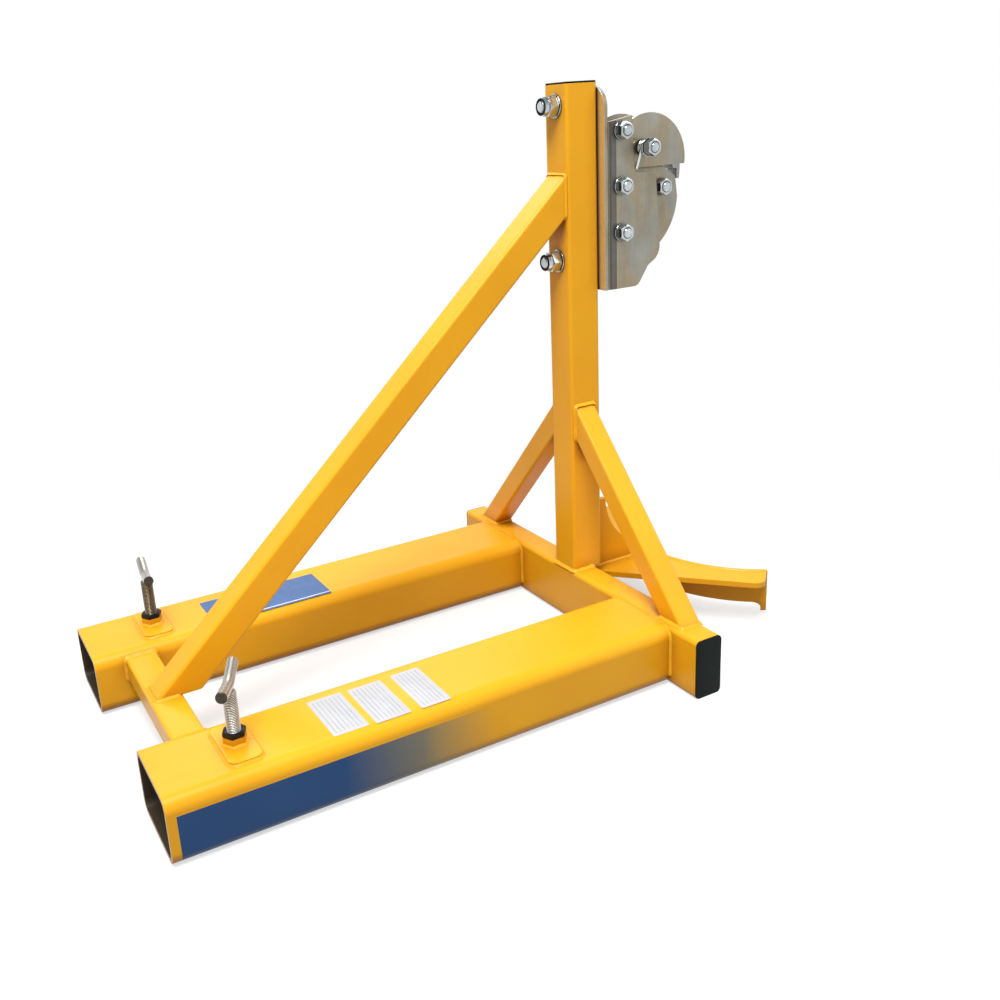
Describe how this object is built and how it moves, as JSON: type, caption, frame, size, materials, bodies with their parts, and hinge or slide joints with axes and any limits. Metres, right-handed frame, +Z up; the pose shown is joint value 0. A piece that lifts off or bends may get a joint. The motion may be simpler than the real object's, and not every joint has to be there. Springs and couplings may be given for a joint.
{
  "type": "drum lifter",
  "caption": "Fork-mounted drum lifter: two fork sleeves with clamp screws, a braced mast, a curved cradle and a beak head that grips a drum's rim.",
  "frame": {"origin": "under the mast's axis, on the plane that the fork sleeves stand on", "axes": "+X forward from the fork sleeves to the drum, +Y to the left, +Z up along the mast"},
  "size_m": [1.1144, 0.696, 0.928],
  "materials": {
    "yellow_paint": "satin",
    "black_plastic": "matte",
    "black_oxide": "satin",
    "zinc_plate": "satin",
    "bare_steel": "satin",
    "zinc_fasteners": "satin",
    "clamp_steel": "satin",
    "spring_steel": "satin"
  },
  "bodies": {
    "root": {"fork_sleeve_left": "yellow_paint", "fork_sleeve_right": "yellow_paint", "front_cross_tube": "yellow_paint", "rear_cross_tube": "yellow_paint", "mast_tube": "yellow_paint", "diagonal_brace": "yellow_paint", "side_brace_left": "yellow_paint", "side_brace_right": "yellow_paint", "mast_gusset": "yellow_paint", "cradle_plate": "yellow_paint", "cradle_band": "yellow_paint", "clamp_pad_left": "yellow_paint", "clamp_pad_right": "yellow_paint", "weld_nut_left": "yellow_paint", "weld_nut_right": "yellow_paint", "cross_tube_cap_left": "black_plastic", "cross_tube_cap_right": "black_plastic", "mast_cap": "black_plastic", "jam_nut_left": "black_oxide", "jam_nut_right": "black_oxide", "back_plate": "zinc_plate", "head_channel": "zinc_plate", "mast_bolts": "zinc_fasteners", "mast_washers": "zinc_fasteners", "mast_lock_nuts": "zinc_fasteners", "cheek_bolts": "zinc_fasteners", "cheek_washers": "zinc_fasteners", "cheek_nuts": "zinc_fasteners", "spacer_tubes": "zinc_fasteners"},
    "clamp_screw_right": {"clamp_screw_right": "clamp_steel"},
    "t_bar_right": {"t_bar_right": "clamp_steel"},
    "clamp_screw_left": {"clamp_screw_left": "clamp_steel"},
    "t_bar_left": {"t_bar_left": "clamp_steel"},
    "carriage": {"carriage_plate_left": "zinc_plate", "carriage_plate_right": "zinc_plate", "lower_jaw": "bare_steel", "lower_jaw_bolt": "zinc_fasteners", "lower_jaw_nut": "zinc_fasteners", "pivot_bolt": "zinc_fasteners", "pivot_washer": "zinc_fasteners", "pivot_nut": "zinc_fasteners", "torsion_spring": "spring_steel"},
    "beak": {"beak_plate_left": "zinc_plate", "beak_plate_right": "zinc_plate", "beak_nose": "bare_steel"}
  },
  "joints": [
    {"name": "screw_slide_right", "type": "slide", "parent": "root", "child": "clamp_screw_right", "axis": [0, 0, 1], "range_m": [-0.0451, 0.0101]},
    {"name": "t_bar_turn_right", "type": "hinge", "parent": "clamp_screw_right", "child": "t_bar_right", "pos_m": [-0.7255, -0.213, 0.19], "axis": [0, 0, 1], "range_deg": [-6480, 1440]},
    {"name": "screw_slide_left", "type": "slide", "parent": "root", "child": "clamp_screw_left", "axis": [0, 0, 1], "range_m": [-0.0451, 0.0101]},
    {"name": "t_bar_turn_left", "type": "hinge", "parent": "clamp_screw_left", "child": "t_bar_left", "pos_m": [-0.7305, 0.213, 0.19], "axis": [0, 0, 1], "range_deg": [-6480, 1440]},
    {"name": "carriage_slide", "type": "slide", "parent": "root", "child": "carriage", "axis": [0, 0, 1], "range_m": [0, 0.025]},
    {"name": "beak_hinge", "type": "hinge", "parent": "carriage", "child": "beak", "pos_m": [0.109, 0, 0.8208], "axis": [0, -1, 0], "range_deg": [0, 32]}
  ],
  "couplings": [
    {"joint": "screw_slide_right", "follows": "t_bar_turn_right", "m_per_rad": 0.00039789},
    {"joint": "screw_slide_left", "follows": "t_bar_turn_left", "m_per_rad": 0.00039789},
    {"joint": "beak_hinge", "follows": "carriage_slide", "rad_per_m": 22.3}
  ]
}
